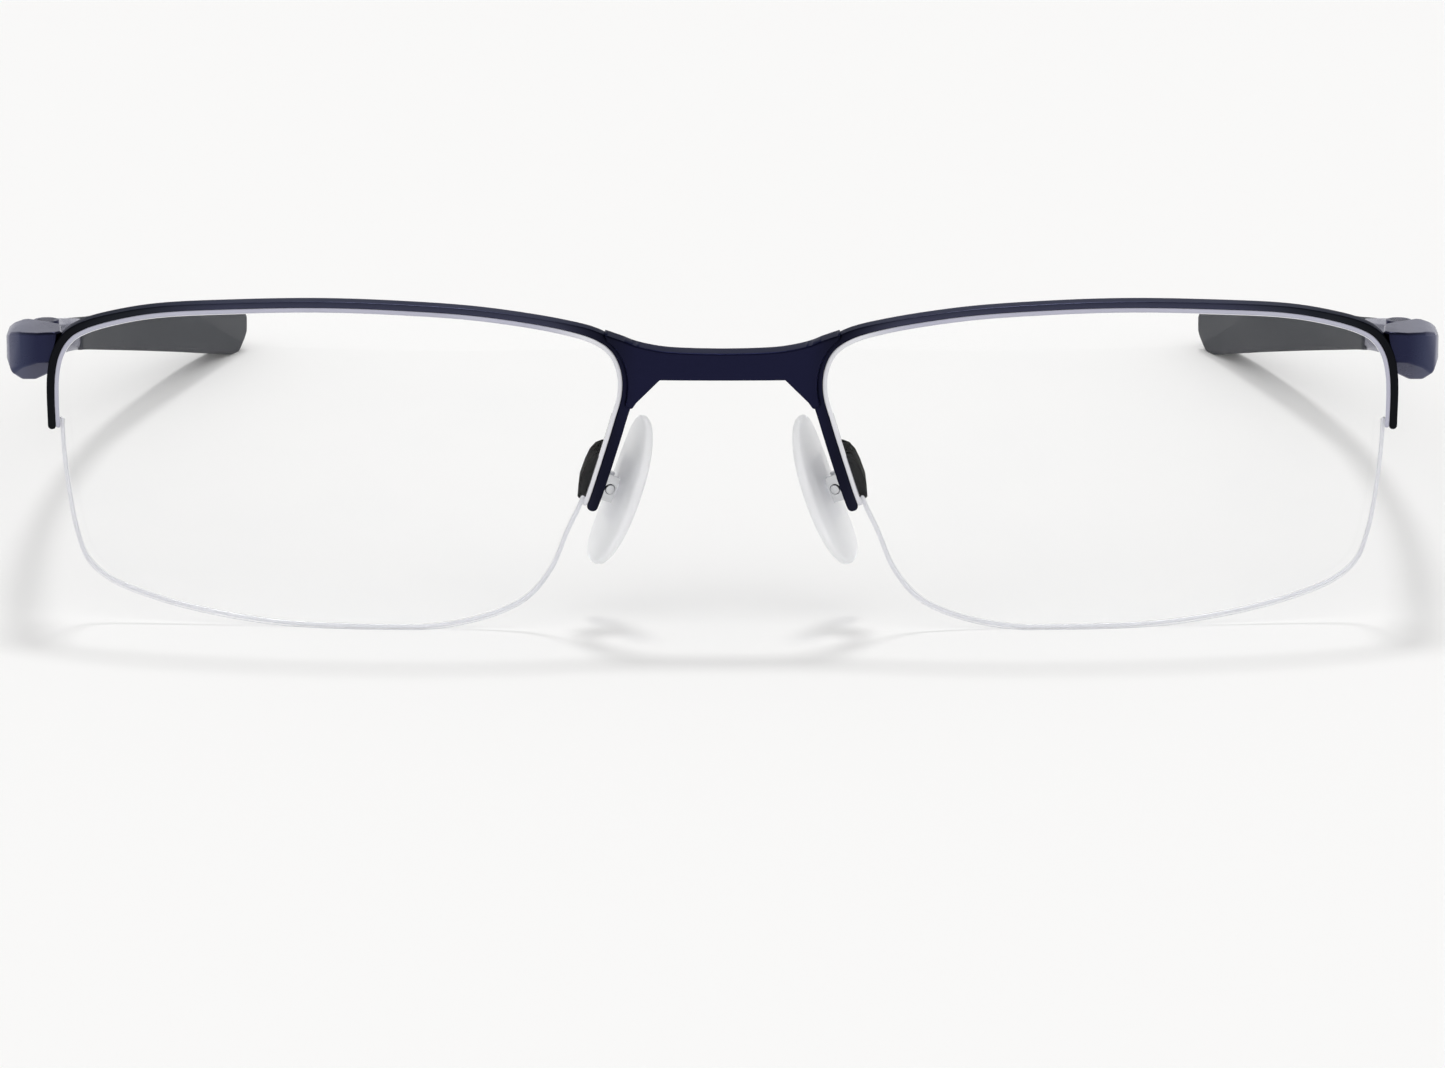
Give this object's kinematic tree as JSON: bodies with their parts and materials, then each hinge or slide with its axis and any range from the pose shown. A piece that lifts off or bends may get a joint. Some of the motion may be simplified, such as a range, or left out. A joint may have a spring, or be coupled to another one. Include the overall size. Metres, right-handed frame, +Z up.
{
  "type": "eyeglasses",
  "caption": "Half-rim metal eyeglasses with a slim brow bar, clear lenses hung on nylon cord, folding temples in rubber sleeves and clear rocking nose pads.",
  "frame": {"origin": "centre of the footprint on the surface that the glasses stand on, open, on the lower edges of the lenses and the ends of the temples", "axes": "+X to the wearer's left, +Y back towards the ears, +Z up"},
  "size_m": [0.1394, 0.141, 0.0318],
  "materials": {
    "frame_enamel": "satin dark navy enamel",
    "liner_nylon": "satin grey nylon",
    "lens_plastic": "clear polished",
    "cord_nylon": "clear",
    "screw_steel": "machined",
    "sleeve_rubber": "matte dark grey",
    "pad_mount_black": "satin black",
    "pad_silicone": "clear satin"
  },
  "bodies": {
    "front": {"bridge": "frame_enamel", "rim_left": "frame_enamel", "rim_right": "frame_enamel", "rim_liner_left": "liner_nylon", "rim_liner_right": "liner_nylon", "lens_left": "lens_plastic", "lens_right": "lens_plastic", "lens_cord_left": "cord_nylon", "lens_cord_right": "cord_nylon", "endpiece_left": "frame_enamel", "endpiece_right": "frame_enamel", "hinge_screw_left": "screw_steel", "hinge_screw_right": "screw_steel", "nose_pad_arm_left": "pad_mount_black", "nose_pad_arm_right": "pad_mount_black", "nose_pad_box_left": "screw_steel", "nose_pad_box_right": "screw_steel", "nose_pad_screw_left": "screw_steel", "nose_pad_screw_right": "screw_steel"},
    "temple_left": {"temple_left": "frame_enamel", "temple_sleeve_left": "sleeve_rubber"},
    "temple_right": {"temple_right": "frame_enamel", "temple_sleeve_right": "sleeve_rubber"},
    "pad_left": {"nose_pad_left": "pad_silicone", "nose_pad_core_left": "cord_nylon"},
    "pad_right": {"nose_pad_right": "pad_silicone", "nose_pad_core_right": "cord_nylon"}
  },
  "joints": [
    {"name": "fold_left", "type": "hinge", "parent": "front", "child": "temple_left", "pos_m": [0.0651, -0.055, 0.025], "axis": [0, 0, 1], "range_deg": [0, 86]},
    {"name": "fold_right", "type": "hinge", "parent": "front", "child": "temple_right", "pos_m": [-0.0651, -0.055, 0.025], "axis": [0, 0, -1], "range_deg": [0, 81]},
    {"name": "rock_left", "type": "hinge", "parent": "front", "child": "pad_left", "pos_m": [0.01107, -0.06299, 0.01278], "axis": [-0.2432, -0.9659, -0.0885], "range_deg": [-10, 10]},
    {"name": "rock_right", "type": "hinge", "parent": "front", "child": "pad_right", "pos_m": [-0.01107, -0.06299, 0.01278], "axis": [-0.2432, 0.9659, 0.0885], "range_deg": [-10, 10]}
  ]
}
